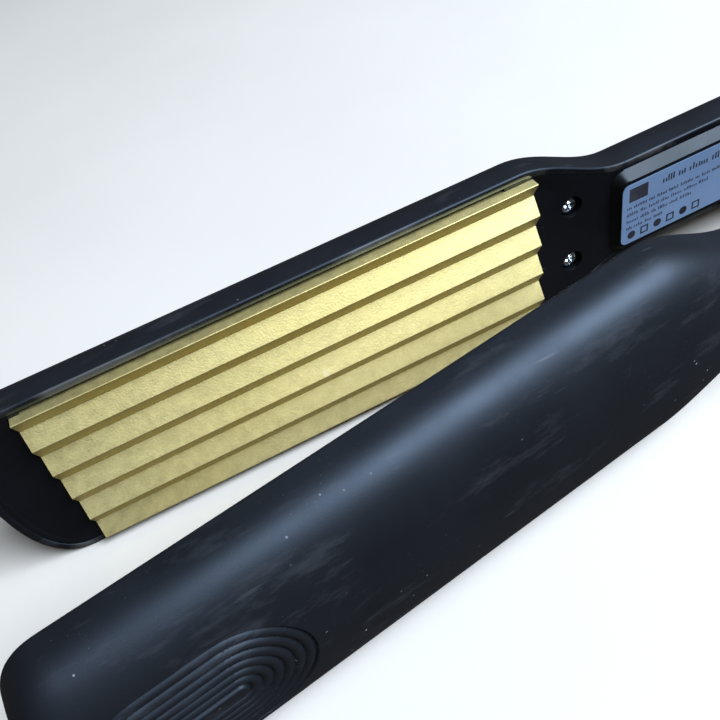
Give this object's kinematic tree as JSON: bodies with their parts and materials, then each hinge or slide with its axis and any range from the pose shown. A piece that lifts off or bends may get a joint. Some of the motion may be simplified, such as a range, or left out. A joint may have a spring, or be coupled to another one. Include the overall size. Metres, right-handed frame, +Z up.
{
  "type": "hair crimper",
  "caption": "Open two-armed hair crimper lying on its side, with interlocking corrugated plates, black casings, a side hinge and an inlet for its cord.",
  "frame": {"origin": "centre of the base of the bounding box, with the crimper lying on its side and its arms open", "axes": "+Z up along the hinge pin, +X from the tips to the hinge end along the line midway between the arms, +Y towards the arm that carries the cord inlet"},
  "size_m": [0.2956, 0.0688, 0.0397],
  "materials": {
    "soft_touch_black": "matte soft-touch paint over moulded plastic",
    "inner_black": "fine satin moulded heat-resistant plastic",
    "gold_plate": "bead-blasted pale gold ceramic-coated aluminium",
    "heater_ceramic": "unglazed alumina",
    "insulation": "translucent amber insulating film",
    "spring_steel": "bright rolled spring steel",
    "carrier_plastic": "glass-filled heat-resistant plastic",
    "zinc_screw": "bright zinc-plated steel",
    "label": "silvery printed film",
    "lens_red": "clear red moulded lens",
    "board_green": "green solder mask",
    "switch_black": "moulded switch case",
    "knob_grey": "moulded thumb slide",
    "bush_rubber": "moulded rubber",
    "lead_sleeve": "white silicone insulation",
    "thermal_metal": "drawn aluminium can",
    "pin_steel": "ground steel",
    "washer_white": "natural acetal"
  },
  "bodies": {
    "cord_arm": {"cord_arm_outer_shell": "soft_touch_black", "cord_arm_inner_cover": "inner_black", "cord_arm_tip_cover": "inner_black", "cord_arm_crimp_plate": "gold_plate", "cord_arm_heater": "heater_ceramic", "cord_arm_insulation_sheet": "insulation", "cord_arm_heater_clamp": "spring_steel", "cord_arm_plate_carriers": "carrier_plastic", "cord_arm_thermal_fuse": "thermal_metal", "cord_arm_leads": "lead_sleeve", "cord_arm_heel_screws": "zinc_screw", "cord_arm_rear_screws": "zinc_screw", "cord_arm_thermostat": "thermal_metal", "rating_label": "label", "indicator_lens": "lens_red", "circuit_board": "board_green", "power_switch_body": "switch_black", "cord_clamp": "carrier_plastic", "cord_clamp_screws": "zinc_screw", "cord_inlet_bush": "bush_rubber", "hinge_washers": "washer_white", "opening_spring": "spring_steel"},
    "free_arm": {"free_arm_outer_shell": "soft_touch_black", "free_arm_inner_cover": "inner_black", "free_arm_tip_cover": "inner_black", "free_arm_crimp_plate": "gold_plate", "free_arm_heater": "heater_ceramic", "free_arm_insulation_sheet": "insulation", "free_arm_heater_clamp": "spring_steel", "free_arm_plate_carriers": "carrier_plastic", "free_arm_thermal_fuse": "thermal_metal", "free_arm_leads": "lead_sleeve", "free_arm_heel_screws": "zinc_screw", "free_arm_rear_screws": "zinc_screw", "hinge_pin": "pin_steel", "hinge_caps": "soft_touch_black"},
    "power_switch": {"power_switch_slider": "knob_grey"}
  },
  "joints": [
    {"name": "arm_hinge", "type": "hinge", "parent": "cord_arm", "child": "free_arm", "pos_m": [0.12829, 0, 0.01985], "axis": [0, 0, -1], "range_deg": [0, 8.7], "stiffness_Nm_per_rad": 1.2, "springref_deg": -20.05, "deforming": ["opening_spring"]},
    {"name": "power_switch_slide", "type": "slide", "parent": "cord_arm", "child": "power_switch", "axis": [0.9971, -0.0758, 0], "range_m": [0, 0.004]}
  ]
}
